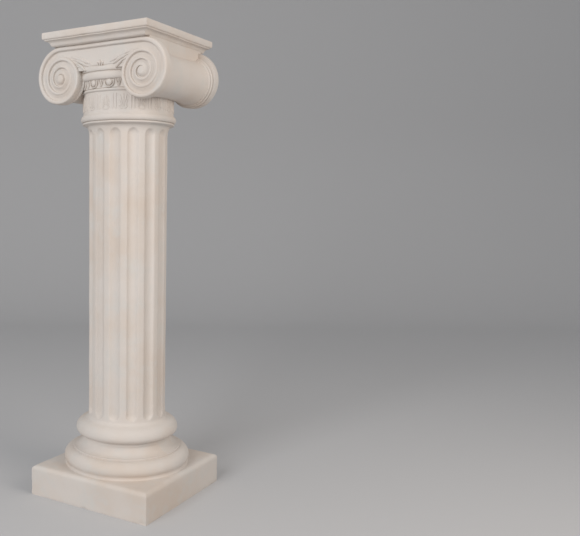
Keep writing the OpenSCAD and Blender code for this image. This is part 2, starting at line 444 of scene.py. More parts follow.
def flared(height):
    """The radius of the plain shaft at a height, with the flare at each end."""
    foot_h, head_h = size["Foot flare height"], size["Head flare height"]
    low = ((size["Foot"] + foot_h - height) / foot_h).between(0, 1)
    high = ((height - size["Head"] + head_h) / head_h).between(0, 1)
    foot_out = size["Foot flare"] * low.quarter_round()
    return size["Radius"] + foot_out + size["Head flare"] * high.quarter_round()


print("zones from foot to head:", FOOT_ROWS, CAP_ROWS, BODY_ROWS, CAP_ROWS, HEAD_ROWS, "rows")

# %% Fluted shaft: the round bar that would cut a flute
# its radius, and how far its middle is from the axis
half_width = size["Flute width"] * 0.5
edge = (size["Radius"].squared() - half_width.squared()).root()
sag = size["Flute depth"] - size["Radius"] + edge
bar_r = (half_width.squared() + sag.squared()) / (sag * 2)
bar_x = size["Radius"] - size["Flute depth"] + bar_r
low_end = size["Foot"] + size["Foot gap"] + half_width
high_end = size["Head"] - size["Head gap"] - half_width
CAP_STRETCH = 1.3
cap_run = half_width * CAP_STRETCH


def height_of(low_edge, high_edge):
    """The height of each row, when the flute's round ends reach these two heights."""
    low_line, high_line = low_end + cap_run, high_end - cap_run
    height = size["Foot"] + (low_edge - size["Foot"]) * in_foot
    height = height + (low_line - low_edge) * in_low_cap
    height = height + (high_line - low_line) * in_body
    height = height + (high_edge - high_line) * in_high_cap
    return height + (size["Head"] - high_edge) * in_head


def past_end(cosine, radius):
    """How far past the middle of its round end the bar still cuts."""
    reach = bar_r.squared() - bar_x.squared() - radius.squared()
    return (reach + radius * bar_x * 2 * cosine).root()


print("bar: the flute's width and depth give its radius")

# %% Fluted shaft: where each column of the grid lies
# a column lies across a flute first, and then across the flat fillet beside it
NUDGE = 0.01
flute = ((column + NUDGE) / REPEAT_STEPS).math("FLOOR")
step = column - flute * REPEAT_STEPS
repeat_angle = size["Flutes"].math("POWER", -1.0) * (2 * math.pi)
rough = height_of(low_end, high_end).math("MAXIMUM", low_end).math("MINIMUM", high_end)
here_r = flared(rough)
edge_cosine = (here_r.squared() + bar_x.squared() - bar_r.squared()) / (here_r * bar_x * 2)
half_angle = edge_cosine.between(-1, 1).math("ARCCOSINE")
across = half_angle * (step.between(0, FLUTE_STEPS) * (math.pi / FLUTE_STEPS)).math("COSINE") * -1
beside = ((step - FLUTE_STEPS) * (math.pi / FILLET_STEPS)).math("COSINE")
beside = repeat_angle * 0.5 - (repeat_angle * 0.5 - half_angle) * beside
on_fillet = step.math("GREATER_THAN", FLUTE_STEPS + 0.5)
from_flute = across + (beside - across) * on_fillet
cosine, sine = from_flute.math("COSINE"), from_flute.math("SINE")
print("columns of one flute and one fillet:", REPEAT_STEPS)

# %% Fluted shaft: the cut
# the row lines bend round the flute's ends
in_flute = on_fillet.flipped(1)
first_low = low_end - past_end(cosine, flared(low_end))
first_high = high_end + past_end(cosine, flared(high_end))
low_reach = past_end(cosine, flared(first_low)) * in_flute
high_reach = past_end(cosine, flared(first_high)) * in_flute
height = height_of(low_end - low_reach, high_end + high_reach)

# how far from the axis the bar leaves the plaster
plain_r = flared(height)
beyond = (low_end - height).math("MAXIMUM", height - high_end).math("MAXIMUM", 0.0)
inside = bar_r.squared() - beyond.squared() - (bar_x * sine).squared()
cut_r = bar_x * cosine - inside.root()
soft_r = plain_r.math("SMOOTH_MIN", cut_r, size["Edge softness"])
radius = plain_r + (soft_r - plain_r) * inside.math("GREATER_THAN", 0.0)

print("nodes so far:", len(shaft_tree.nodes))

# %% Fluted shaft: closed ends, and the bend round the axis
# the two lines at each end close the shaft, inside the base and the capital
STEP_IN = 2 * MM
below = line.math("LESS_THAN", CLOSING - 0.5)
above = line.math("GREATER_THAN", LINES - CLOSING + 0.5)
poles = line.math("LESS_THAN", 0.5) + line.math("GREATER_THAN", LINES - 0.5)
height = height - below * STEP_IN + above * STEP_IN
radius = (radius - (below + above) * STEP_IN) * poles.flipped(1)
angle = size["Turn"] + flute * repeat_angle + from_flute
place = shaft_tree.nodes.new("ShaderNodeCombineXYZ")
shaft_tree.links.new((radius * angle.math("SINE")).socket, place.inputs["X"])
shaft_tree.links.new((radius * angle.math("COSINE") * -1).socket, place.inputs["Y"])
shaft_tree.links.new(height.socket, place.inputs["Z"])
bend = shaft_tree.nodes.new("GeometryNodeSetPosition")
shaft_tree.links.new(grid.outputs["Mesh"], bend.inputs["Geometry"])
shaft_tree.links.new(place.outputs[0], bend.inputs["Position"])
weld = shaft_tree.nodes.new("GeometryNodeMergeByDistance")
weld.inputs["Distance"].default_value = 0.01 * MM
shaft_tree.links.new(bend.outputs["Geometry"], weld.inputs["Geometry"])
finish_tree(shaft_tree, weld.outputs["Geometry"], size["Plaster"], leave)
print("fluted shaft tree:", len(shaft_tree.nodes), "nodes")

# %% Shaft
shaft_top_z = 810.0
shaft = bpy.data.objects.new("shaft", bpy.data.meshes.new("shaft"))
scene.collection.objects.link(shaft)
run_tree(shaft, shaft_tree, {
    "Flutes": 14, "Turn": math.radians(15.4), "Radius": shaft_r * MM,
    "Flute width": 23.4 * MM, "Flute depth": 6.5 * MM, "Foot": shaft_foot_z * MM,
    "Head": shaft_top_z * MM, "Foot gap": 11 * MM, "Head gap": 12 * MM,
    "Foot flare": 2.6 * MM, "Foot flare height": 46 * MM, "Head flare": 12 * MM,
    "Head flare height": 22 * MM, "Edge softness": 2.6 * MM, "Plaster": PLASTER,
})
print("shaft:", len(shaft.data.polygons), "faces")

# %% [markdown]
# ## The rings of the capital
#
# Between the shaft and the scrolls the capital is round: a small bead, a sloping astragal, the
# upright necking that carries the carving, a thin bead, the egg ring, a swelling band and a
# plain ledge. They are turned in one piece, from one section, like the base.

# %% Capital rings
neck_r = 98
neck_foot_z, neck_top_z = 832, 873.5
bead_top_z, egg_top_z, band_top_z = 880, 897.5, 913.5
ledge_top_z = 924.2
egg_ring_r, band_r = 101.5, 108.5
bead_z = (neck_top_z + bead_top_z) / 2
band_z = (egg_top_z + band_top_z) / 2

# a small bead, and the sloping astragal over it
rings_section = [(0, shaft_top_z - 3), (93, shaft_top_z - 3), (96.4, shaft_top_z - 0.8)]
rings_section += arc((97.3, shaft_top_z + 1.8), (2.9, 2.5), -70, 75, 8)
rings_section += [(98.6, shaft_top_z + 4.9), (99.8, shaft_top_z + 4.7)]
rings_section += arc((98.4, shaft_top_z + 11.4), (4.9, 7.0), -68, 62, 12)
rings_section += [(99.6, neck_foot_z - 2.9), (98.6, neck_foot_z - 1.1), (neck_r, neck_foot_z)]

# the necking, a thin bead, the hollow for the eggs and the swelling band
rings_section += refined([(neck_r, neck_foot_z), (neck_r, neck_top_z)], 9)[1:]
rings_section += arc((neck_r + 0.3, bead_z), (3.5, 3.1), -80, 80, 8)
rings_section += [(egg_ring_r - 1.2, bead_top_z + 0.4), (egg_ring_r - 2, 888)]
rings_section += [(egg_ring_r, egg_top_z - 1)]
rings_section += arc((band_r - 4, band_z), (4.5, 8), -80, 80, 12)

# the plain ledge, with its lower and its upper edge
ledge_foot = [(3.6, 0), (3.4, 0.6), (1.2, 1.4), (0.3, 3), (0, 5)]
ledge_edge = [(0.2, 3.6), (0.9, 1.6), (2.2, 0.4), (4.4, 0)]
rings_section += [(band_r - inset, band_top_z + rise) for inset, rise in ledge_foot]
rings_section += [(band_r - inset, ledge_top_z - drop) for inset, drop in ledge_edge]
rings_section += [(0, ledge_top_z)]
rings = turned("rings", rings_section, 144)
print("rings:", len(rings_section), "points in the section,", len(rings.data.polygons), "faces")

# %% [markdown]
# ## Carved lobes
#
# The carving of the necking, the egg ring and the corners between the scrolls is all made of
# one kind of stroke: a low, rounded lobe that follows a curved line and swells and tapers on
# the way, as a modelling tool leaves it in clay. Each lobe is a closed tube with a flat oval
# section, half of which is sunk in the face behind it. It is drawn on a flat sheet first, with
# x across, y up and z standing out, and then wrapped round the ring or laid on a face.

# %% Lobes
def smooth_path(points, steps):
    """A smooth curve through a few points, as a list of points."""
    ends = [points[0], *points, points[-1]]
    path = []
    for index in range(len(points) - 1):
        a, b, c, d = (Vector(p) for p in ends[index:index + 4])
        for step in range(steps):
            t = step / steps
            bend, twist = 2 * a - 5 * b + 4 * c - d, 3 * b - a - 3 * c + d
            path.append(0.5 * (2 * b + (c - a) * t + bend * t**2 + twist * t**3))
    path.append(Vector(points[-1]))
    return path


def leaf_swell(share):
    """A lobe that is slender at its root, full beyond the middle, and pointed at its tip."""
    return max(0.0, math.sin(math.pi * share**1.25)) ** 0.7 * (0.55 + 0.45 * share)


def even_swell(share):
    """A stroke of even width with round ends."""
    if not 0 < share < 1:
        return 0.0
    return min(1.0, math.sin(math.pi * share) * 3.2) ** 0.5


def full_swell(share):
    """A stroke of even width with blunt ends."""
    return 1.0 if 0 < share < 1 else 0.0


def lobe(points, width, rise, swell_of=leaf_swell, steps=4, sides=8, sink=2.0):
    """One closed stroke along a path of (across, up) points: its points and its faces."""
    path = smooth_path(points, steps)
    last = len(path) - 1
    verts = []
    for index, spot in enumerate(path):
        run = path[min(index + 1, last)] - path[max(index - 1, 0)]
        run.normalize()
        side = Vector((run.y, -run.x))
        full = swell_of(index / last)
        for corner in range(sides):
            angle = 2 * math.pi * corner / sides
            out = math.sin(angle)
            height = rise * full**0.8 * out if out > 0 else sink * out * min(1.0, 3 * full)
            where = spot + side * (width / 2 * full * math.cos(angle))
            verts.append((where.x, where.y, height))
    return verts, grid_faces(len(path), sides)


print("half way along, a leaf is", round(leaf_swell(0.5), 2), "of its full width")

# %% [markdown]
# ## Melting solids together
#
# Parts that merely touch or overlap are still loose parts, with hidden faces inside. The
# Boolean modifier makes one skin of two closed solids, or cuts one from the other. It is used
# for the strokes of one leaf here, and for the whole column later. Each result is taken as a
# plain mesh at once, so that the next step starts from clean geometry.

# %% Melting solids together
def combine(body, others, operation):
    """Joins the others to the body, or cuts them from it, and throws the others away."""
    for other in others:
        join = body.modifiers.new("join", "BOOLEAN")
        join.operation = operation
        join.solver = "MANIFOLD"
        join.object = other
        layer = bpy.context.evaluated_depsgraph_get()
        made = bpy.data.meshes.new_from_object(body.evaluated_get(layer))
        if len(made.polygons) == 0:
            print("  boolean gave nothing:", body.name, other.name)
        body.modifiers.remove(join)
        body.data = made
        bpy.data.objects.remove(other)
    return body


def union(body, others):
    return combine(body, others, "UNION")


print("solids are melted with the Boolean modifier, by its Manifold solver")

# %% Strokes on a ring, melted into one
def on_ring(verts, ring_r):
    """Wraps a flat drawing round a ring, with its middle at the front of the column."""
    wrapped = []
    for across, up, out in verts:
        angle, reach = across / ring_r, ring_r + out
        wrapped.append((reach * math.sin(angle), -reach * math.cos(angle), up))
    return wrapped


def mirrored(lobes):
    """The same strokes, and their mirror images across the middle line."""
    return lobes + [([(-x, y, z) for x, y, z in verts], faces) for verts, faces in lobes]


def melted(name, groups, ring_r):
    """Strokes that overlap, melted into one closed solid on a ring."""
    body = None
    for index, (verts, faces) in enumerate(groups):
        stroke = solid(name + str(index), on_ring(verts, ring_r), faces)
        body = stroke if body is None else union(body, [stroke])
    body.name = name
    return body


print("mirror images double a stroke:", len(mirrored([([], [])])))

# %% [markdown]
# ## The egg ring and the necking
#
# Round the ring under the swelling band runs the egg and dart: an egg in a shell, then a dart,
# sixteen times. Round the necking a fan of leaves, called a palmette, takes turns with a
# pointed flower, and two upright rods stand between each pair. One of each is modelled at the
# front of the ring. A Geometry Nodes tree then sets out the copies, because that is what it is
# good at: the count, the turn and the piece are named inputs, and changing one moves them all.

# %% A ring of copies
ring_tree, size, leave = new_tree("ring of copies", {
    "Copies": whole, "First turn": number, "Piece": "Object", "Plaster": "Material",
})
seats = ring_tree.nodes.new("GeometryNodePoints")
ring_tree.links.new(size["Copies"].socket, seats.inputs["Count"])
order = Sum(ring_tree, ring_tree.nodes.new("GeometryNodeInputIndex").outputs[0])
turn = size["First turn"] + order * (2 * math.pi) / size["Copies"]
turned_to = ring_tree.nodes.new("ShaderNodeCombineXYZ")
ring_tree.links.new(turn.socket, turned_to.inputs["Z"])
source = ring_tree.nodes.new("GeometryNodeObjectInfo")
ring_tree.links.new(size["Piece"].socket, source.inputs["Object"])
copies = ring_tree.nodes.new("GeometryNodeInstanceOnPoints")
ring_tree.links.new(seats.outputs[0], copies.inputs["Points"])
ring_tree.links.new(source.outputs["Geometry"], copies.inputs["Instance"])
ring_tree.links.new(turned_to.outputs[0], copies.inputs["Rotation"])
finish_tree(ring_tree, copies.outputs["Instances"], size["Plaster"], leave)


def ring_of(piece, copies_wanted, first_turn):
    """A ring of copies of one piece, which is used up."""
    ring = bpy.data.objects.new(piece.name + "_ring", bpy.data.meshes.new(piece.name + "_ring"))
    scene.collection.objects.link(ring)
    run_tree(ring, ring_tree, {
        "Copies": copies_wanted, "First turn": math.radians(first_turn), "Piece": piece,
        "Plaster": PLASTER,
    })
    bpy.data.objects.remove(piece)
    return ring


print("ring of copies:", len(ring_tree.nodes), "nodes")

# %% Egg, shell and dart
panels = 16
panel_turn = 360 / panels
egg_r = egg_ring_r - 1.5


def egg_strokes():
    """An egg that hangs in a shell, drawn as a round boss and a stroke bent round it."""
    half_w, half_h, middle_z, bulge = 8.0, 7.6, 891.4, 5.2
    taper, buried = 0.16, 0.35
    tiers, sides = 8, 14
    verts = []
    for tier in range(tiers + 1):
        down = math.pi * tier / tiers
        slim = 1 - taper * (1 - math.cos(down)) / 2
        for side in range(sides):
            angle = 2 * math.pi * side / sides
            across = half_w * slim * math.sin(down) * math.cos(angle)
            out = bulge * math.sin(down) * math.sin(angle)
            verts.append((across, middle_z + half_h * math.cos(down), max(out, buried * out)))
    egg = (verts, grid_faces(tiers + 1, sides))
    left_half = [(-10.9, 899), (-10.4, 892), (-7.6, 884.6)]
    right_half = [(-across, up) for across, up in reversed(left_half)]
    shell = lobe([*left_half, (0, 881.2), *right_half], 3.2, 4.0, full_swell, sink=3)
    return [egg, shell]


def dart_swell(share):
    """A stroke that widens from a thin foot to a broad head."""
    return 0.22 + 0.78 * share if 0 < share < 1 else 0.0


eggs = ring_of(melted("egg", egg_strokes(), egg_r), panels, panel_turn / 2)
dart_side = lobe([(0.6, 881.6), (3.0, 890), (6.4, 899)], 2.6, 3.2, even_swell, sink=3)
dart_lobes = [lobe([(0, 881.2), (0, 890), (0, 899)], 4.6, 4.2, dart_swell, sink=3)]
dart_lobes += mirrored([dart_side])
darts = ring_of(melted("dart", dart_lobes, egg_r), panels, 0)
print("egg ring:", len(eggs.data.polygons) + len(darts.data.polygons), "faces")

# %% Strokes of the necking
carve_foot = 836.0
rod_rises = (0.4, 17, 34)


def necking_rods():
    """Two upright half-round rods, side by side."""
    pair = []
    for across in (-3.3, 3.3):
        path = [(across, carve_foot + rise) for rise in rod_rises]
        pair.append(lobe(path, 3.9, 1.3, even_swell, steps=6))
    return pair


def palmette_strokes():
    """A fan of seven leaves over a pair of curls."""
    foot = carve_foot + 8
    curl = [(0.6, foot - 7), (4.6, foot - 6.6), (7.8, foot - 3.4)]
    curl += [(6.2, foot - 1), (4.4, foot - 2.8)]
    strokes = [lobe([(0, foot), (0, foot + 12), (0, foot + 25)], 5.0, 1.6)]
    sides = [
        lobe([(1.2, foot), (4.2, foot + 9), (4.8, foot + 20)], 4.2, 1.4),
        lobe([(1.6, foot), (6.6, foot + 6), (8.0, foot + 14)], 3.8, 1.3),
        lobe([(1.8, foot - 0.5), (6.6, foot + 1.6), (8.6, foot + 6.6)], 3.4, 1.2),
        lobe(curl, 2.4, 1.2, even_swell),
    ]
    return strokes + mirrored(sides)


def flower_strokes():
    """A pointed flower: a bud between two pairs of leaves, over a pair of curls."""
    foot = carve_foot + 3
    curl = [(0.6, foot - 2), (5.0, foot - 1.4), (8.2, foot + 3.4)]
    curl += [(6.4, foot + 6), (4.8, foot + 3.8)]
    strokes = [lobe([(0, foot), (0, foot + 16), (0, foot + 30)], 5.4, 1.6)]
    sides = [
        lobe([(0.8, foot), (3.6, foot + 13), (7.4, foot + 28)], 4.0, 1.4),
        lobe([(1.2, foot), (6.0, foot + 8), (8.6, foot + 18)], 3.8, 1.25),
        lobe(curl, 2.4, 1.2, even_swell),
    ]
    return strokes + mirrored(sides)


print("strokes:", len(necking_rods()), len(palmette_strokes()), len(flower_strokes()))

# %% Necking carving
leaf_turn = 5.6
rods = ring_of(melted("rods", necking_rods(), neck_r), panels, -leaf_turn)
palmettes = ring_of(melted("palmette", palmette_strokes(), neck_r), panels // 2, leaf_turn)
flower = melted("flower", flower_strokes(), neck_r)
flowers = ring_of(flower, panels // 2, leaf_turn + panel_turn)
neck_faces = sum(len(ring.data.polygons) for ring in (rods, palmettes, flowers))
print("necking:", neck_faces, "faces")

# %% [markdown]
# ## The scrolls
#
# An Ionic scroll, or volute, is a raised ridge that winds inwards about three times and ends
# in a low round eye. Each turn is a fixed share tighter than the last, so the distance from the
# eye falls off as an exponential. A curve with a bevel could draw the ridge, but the channel
# beside it would be left flat. Here the whole face is one strip of points that winds in with
# the spiral. Across the strip the relief rises softly to a crest, falls steeply, and then runs
# out in the hollow channel. The next turn shares the strip's inner edge, so that the face is
# closed without any cutting.

# %% The spiral
face_y, channel_depth = 110, 6
floor_y = face_y - channel_depth
scroll_back_y = floor_y - 12
rim_top_z, scroll_r = 972.5, 66.2
eye_x, eye_z = 103.5, rim_top_z - scroll_r
spiral_sink, spiral_pull, spiral_end_r = 20, 0.3, 5
TURN_STEPS = 56


def spiral(turn):
    """Distance from the eye to the outer edge of the ridge after some turns."""
    return (scroll_r + spiral_sink) * math.exp(-spiral_pull * turn) - spiral_sink


tightening = (scroll_r + spiral_sink) / (spiral_end_r + spiral_sink)
end_step = round(TURN_STEPS * math.log(tightening) / spiral_pull)
scroll_eye_r = spiral(end_step / TURN_STEPS)
first_band = spiral(0) - spiral(1)
print("eye radius", round(scroll_eye_r, 2), "after", round(end_step / TURN_STEPS, 2), "turns")

# %% Relief across the strip
ridge_share = 0.45
RIDGE_STEPS, HOLLOW_STEPS = 8, 5
rim_turns, rim_fade = 0.72, 0.28
boss_r, boss_drop = 22, 0.4
boss_from_r, boss_over = 13, 8

strip_shares = []
for k in range(RIDGE_STEPS + 1):
    strip_shares.append(ridge_share * (1 - math.cos(math.pi * k / RIDGE_STEPS)) / 2)
for k in range(1, HOLLOW_STEPS + 1):
    strip_shares.append(ridge_share + (1 - ridge_share) * k / HOLLOW_STEPS)


def eased(value):
    """A smooth step from 0 to 1."""
    value = min(max(value, 0.0), 1.0)
    return value * value * (3 - 2 * value)


def inwards(turn):
    """0 along the outer rim, and 1 once the spiral has gone round."""
    return eased((turn - rim_turns) / rim_fade)


def ridge_height(turn):
    """The ridge gets lower as the spiral gets tighter."""
    return channel_depth * min(1.0, (spiral(turn) - spiral(turn + 1)) / first_band) ** 0.45


def outer_lift(turn):
    """Relief at the strip's outer edge: none round the rim, half a ridge further in."""
    return 0.5 * ridge_height(turn) * inwards(turn)


def strip_relief(turn, share):
    """The strip rises softly to its crest, and falls steeply to the channel inside it."""
    tall, start, end = ridge_height(turn), outer_lift(turn), outer_lift(turn + 1)
    if share <= ridge_share:
        from_middle = 2 * share / ridge_share - 1
        if from_middle > 0:
            return tall * max(0.0, 1 - from_middle**4) ** 0.5
        fullness = 3.4 - 1.4 * inwards(turn)
        softness = 0.52 + 0.48 * inwards(turn)
        return start + (tall - start) * max(0.0, 1 - abs(from_middle) ** fullness) ** softness
    hollow = (share - ridge_share) / (1 - ridge_share)
    dip = 0.16 * tall * math.sin(math.pi * min(1.0, 1.25 * hollow))
    return end * hollow**1.8 - dip


def scroll_relief(turn, share, reach):
    """The strip's relief, which swells into a low round boss towards the eye."""
    boss = 0.0
    if reach < boss_r:
        boss = (channel_depth - boss_drop) * math.sqrt(1 - (reach / boss_r) ** 2)
    near_eye = eased((boss_from_r - reach) / boss_over)
    plain = strip_relief(turn, share)
    return plain + (boss - plain) * near_eye


print("crest of the rim:", round(max(strip_relief(0, share) for share in strip_shares), 2), "mm")

# %% One scroll
EYE_RINGS = 6
broad_from, broad_over, broad_by = 2.3, 0.9, 0.62


def scroll_solid(name, right, front):
    """A scroll with its face, its rim and a flat back; right and front are 1 or -1."""
    points = []

    def put(turn, reach, out):
        angle = 2 * math.pi * turn
        across = right * (eye_x + reach * math.sin(angle))
        points.append((across, -front * out, eye_z + reach * math.cos(angle)))
        return len(points) - 1

    # the face: one strip that winds in, with the ridge a little broader beside the eye
    for index in range(end_step + 1):
        turn = index / TURN_STEPS
        outer, inner = spiral(turn), max(spiral(turn + 1), scroll_eye_r)
        broaden = 1 - broad_by * eased((turn - broad_from) / broad_over)
        for share in strip_shares:
            wider = share**broaden if 0 < share < 1 else share
            reach = outer - (outer - inner) * wider
            put(turn, reach, floor_y + scroll_relief(turn, share, reach))
    faces = grid_faces(end_step + 1, len(strip_shares), False)

    # the eye: rings that close to a point
    first_eye = len(points)
    for ring in range(EYE_RINGS + 1):
        reach = scroll_eye_r * math.cos(math.pi / 2 * ring / EYE_RINGS)
        dome = scroll_relief(end_step / TURN_STEPS, 1.0, reach)
        for step in range(TURN_STEPS):
            put((end_step - TURN_STEPS + step) / TURN_STEPS, reach, floor_y + dome)
    eye_faces = grid_faces(EYE_RINGS + 1, TURN_STEPS)
    faces += [tuple(first_eye + i for i in face) for face in eye_faces]

    # the rim: once round, and back along the step from the first turn to the second
    rim = []
    for step in range(TURN_STEPS + 1):
        turn = step / TURN_STEPS
        rim.append((turn, spiral(turn), floor_y + outer_lift(turn)))
    for share in reversed(strip_shares[1:-1]):
        rim.append((0, spiral(0) - first_band * share, floor_y + strip_relief(0, share)))
    front_rim = [put(*corner) for corner in rim]
    back_rim = [put(turn, reach, scroll_back_y) for turn, reach, _ in rim]
    for here in range(len(rim)):
        after = (here + 1) % len(rim)
        faces.append((front_rim[here], front_rim[after], back_rim[after], back_rim[here]))
    faces.append(tuple(back_rim))
    return solid(name, points, faces)


SIDES = [(1, 1), (-1, 1), (1, -1), (-1, -1)]
scrolls = [scroll_solid("scroll" + str(i), *side) for i, side in enumerate(SIDES)]
print("one scroll:", len(scrolls[0].data.polygons), "faces")

# %% [markdown]
# ## The faces between the scrolls
#
# Between the two scrolls of a face runs the channel, or canalis, under a raised rim that is
# the scrolls' own ridge carried straight across. The block is lofted from one section to the
# next along x. At each end its section is exactly the one that the scroll starts with, so the
# rim and the channel run into the scroll without a step. A plug cuts room for each scroll.

# %% Section of the channel block
open_foot = ledge_top_z - 1.5
channel_top = rim_top_z - first_band * ridge_share
groove_h, groove_edge, groove_depth = 2.4, 0.5, 5.0
channel_dish = 1.1
blend_w = 45


def open_channel(up):
    """The open channel is a shallow hollow, undercut a little along the ledge."""
    across = (up - open_foot) / (channel_top - open_foot)
    undercut = groove_depth * eased((ledge_top_z + groove_h - up) / groove_edge)
    return -channel_dish * math.sin(math.pi * min(1.0, across)) - undercut


def block_section(x):
    """The front of the block at x, as (out, up) points from the ledge to the rim."""
    toward_scroll = eased(abs(x) / eye_x)
    near_scroll = eased((abs(x) - eye_x + blend_w) / blend_w)
    front = []
    groove_rises = (0, 1.5 + groove_h - groove_edge, 1.5 + groove_h)
    for rise in (*groove_rises, 5.5, 8, 11, 14.5, 18, 22):
        up = open_foot + rise
        front.append((floor_y + open_channel(up) * (1 - toward_scroll), up))
    for share in reversed(strip_shares):
        up = rim_top_z - first_band * share
        relief = strip_relief(0, share)
        if share > ridge_share:
            relief = open_channel(up) * (1 - toward_scroll) + relief * near_scroll
        front.append((floor_y + relief, up))
    return front


print("section of the block:", len(block_section(0)), "points in front")

# %% Channel block
CUTTER_STEPS = 48
plug_play, plug_back_y, plug_front_y = 1.5, scroll_back_y + 2, face_y + 20
block_overlap = 0.3


def scroll_cutter(name, right, front):
    """A plug a little smaller than a scroll, which clears the block where the scroll sits."""
    turns = [0.02 + 0.98 * step / CUTTER_STEPS for step in range(CUTTER_STEPS + 1)]
    points = []
    for out in (plug_back_y, plug_front_y):
        for turn in turns:
            reach, angle = spiral(turn) - plug_play, 2 * math.pi * turn
            across = right * (eye_x + reach * math.sin(angle))
            points.append((across, -front * out, eye_z + reach * math.cos(angle)))
    count = len(turns)
    faces = grid_faces(2, count)
    faces += [tuple(range(count)), tuple(range(count, 2 * count))]
    return solid(name, points, faces)


stations = [eye_x * (step / 16) for step in range(-16, 17)]
stations[0] -= block_overlap
stations[-1] += block_overlap
points = []
for x in stations:
    front = block_section(max(-eye_x, min(eye_x, x)))
    points += [(x, -out, up) for out, up in front]
    points += [(x, out, up) for out, up in reversed(front)]
ring = len(points) // len(stations)
faces = grid_faces(len(stations), ring)
faces += [tuple(range(ring)), tuple(range(len(points) - ring, len(points)))]
block = solid("block", points, faces)
plugs = [scroll_cutter("cutter" + str(i), *side) for i, side in enumerate(SIDES)]
combine(block, plugs, "DIFFERENCE")
print("block:", len(block.data.polygons), "faces")

# %% [markdown]
# ## The bolsters
#
# From behind each front scroll a bolster runs to the scroll at the back, like a roll of cloth
# drawn in at the waist, with two beads beside each scroll. It is turned about a line that runs
# from front to back through the two eyes. A plain block between the bolsters, the shoulder,
# fills the capital under the abacus.

# %% Bolsters
waist_r, bolster_r, spool_end_y = 44, 48, 82
BOLSTER_STEPS = 16
bolster_half = [(0, scroll_back_y + 0.5), (51.2, scroll_back_y + 0.5)]
bolster_half += arc((51.4, scroll_back_y - 2.4), (2.9, 2.4), 80, -80, 7)
bolster_half += arc((48.6, scroll_back_y - 7.4), (2.6, 2.4), 80, -80, 7)
bolster_section = list(bolster_half)
for step in range(2 * BOLSTER_STEPS + 1):
    along = spool_end_y * (1 - step / BOLSTER_STEPS)
    drawn_in = (bolster_r - waist_r) * (1 - (along / spool_end_y) ** 2)
    bolster_section.append((bolster_r - drawn_in, along))
bolster_section += [(radius, -along) for radius, along in reversed(bolster_half)]


def bolster(name, right):
    """One bolster, turned about the line through two eyes."""

    def place(radius, angle, along):
        across = right * (eye_x + radius * math.cos(angle))
        return across, along, eye_z + radius * math.sin(angle)

    return turned(name, bolster_section, 72, place)


bolsters = [bolster("bolster" + str(right), right) for right in (1, -1)]
print("bolsters:", 2 * len(bolsters[0].data.polygons), "faces")

# %% Shoulder
shoulder_half = 120.5
shoulder_section = refined([(shoulder_half, eye_z + 12), (shoulder_half, rim_top_z + 1)], 6)
shoulder = squared("shoulder", shoulder_section, 24)
for vertex in shoulder.data.vertices:
    vertex.co.y *= (floor_y - 1.2) / shoulder_half
print("shoulder:", len(shoulder.data.polygons), "faces")

# %% [markdown]
# ## The abacus
#
# The abacus is the square slab that carries a bust or a plant pot. Under it a hollow moulding
# steps in to the scrolled faces. It is a square moulding like the plinth, and its slab has
# slightly uneven edges, because plaster slumps before it sets.

# %% Abacus
slab_z, slab_half = 985.8, 132.8


def uneven_edge(point):
    """Moves the sides in and out by a fraction of a millimetre, and dents a few edges."""
    swing = 0.5 * lumps(point, 0.02, (7, 3, 1))
    bite = max(0.0, lumps(point, 0.11, (2, 9, 4)) - 0.28) * 3.0
    at_edge = 1.0 if abs(point.z - column_h) < 2.5 or abs(point.z - slab_z) < 2 else 0.25
    keep = 1 + (swing - 0.5 - bite * at_edge) / slab_half
    return Vector((point.x * keep, point.y * keep, point.z))


hollow = [(111.5, -1.2), (116.4, -0.8), (118.6, 0.6), (119.5, 2.4), (120.4, 4.6), (121.8, 6.8)]
hollow += [(123.8, 8.6), (126.2, 9.7), (128.6, 10.1), (129.3, 10.8)]
slab_foot = [(1.2, -0.3), (0.3, 0.6), (0, 1.8), (0, 6)]
slab_head = [(0, 2.4), (0.7, 0.7), (2.4, 0), (8, 0)]
abacus_section = [(half, rim_top_z + rise) for half, rise in hollow]
abacus_section += [(129.4, slab_z - 0.6)]
abacus_section += [(slab_half - inset, slab_z + rise) for inset, rise in slab_foot]
abacus_section += [(slab_half - inset, column_h - drop) for inset, drop in slab_head]
abacus_section += [(hidden_half, column_h)]
abacus = squared("abacus", abacus_section, 48, uneven_edge)
print("abacus:", round(2 * slab_half, 1), "mm square,", len(abacus.data.polygons), "faces")

# %% [markdown]
# ## Leaves in the corners of the channel
#
# Where the egg ring runs in under each scroll, the carver hides the awkward corner behind half
# a palmette: three leaves that spring from the scroll and sweep over the ledge. A small bud
# stands in the middle. They are the same lobes as before, laid flat on the face this time.

# %% Corner leaves and bud
upper = [(87, 951.5), (68, 947), (46, 939.5), (22, 929.5)]
middle = [(75, 943), (61, 940), (47, 934), (31, 925.5)]
lower = [(67, 934.5), (57, 932), (47.5, 926), (38.5, 916.5)]
corner_lobes = [
    lobe(upper, 8.6, 3.6, steps=6, sides=12, sink=3),
    lobe(middle, 8.4, 4.4, steps=5, sides=12, sink=3),
    lobe(lower, 8.0, 5.2, steps=5, sides=12, sink=6),
]
bud = lobe([(0, 919), (0, 928), (0, 937)], 6.0, 6.0, sides=10, sink=8)
bud_leaf = lobe([(1.2, 920), (4.8, 926.5), (8.0, 932.5)], 5.0, 5.0, sides=10, sink=8)
face_lobes = [*mirrored(corner_lobes), bud, *mirrored([bud_leaf])]
leaf_seat = 0.8
leaves = []
for index, (verts, faces) in enumerate(face_lobes):
    for front in (1, -1):
        flat = [(x, -front * (floor_y - leaf_seat + out), up) for x, up, out in verts]
        leaves.append(solid("leaf" + str(index), flat, faces))
print("leaves:", len(leaves))

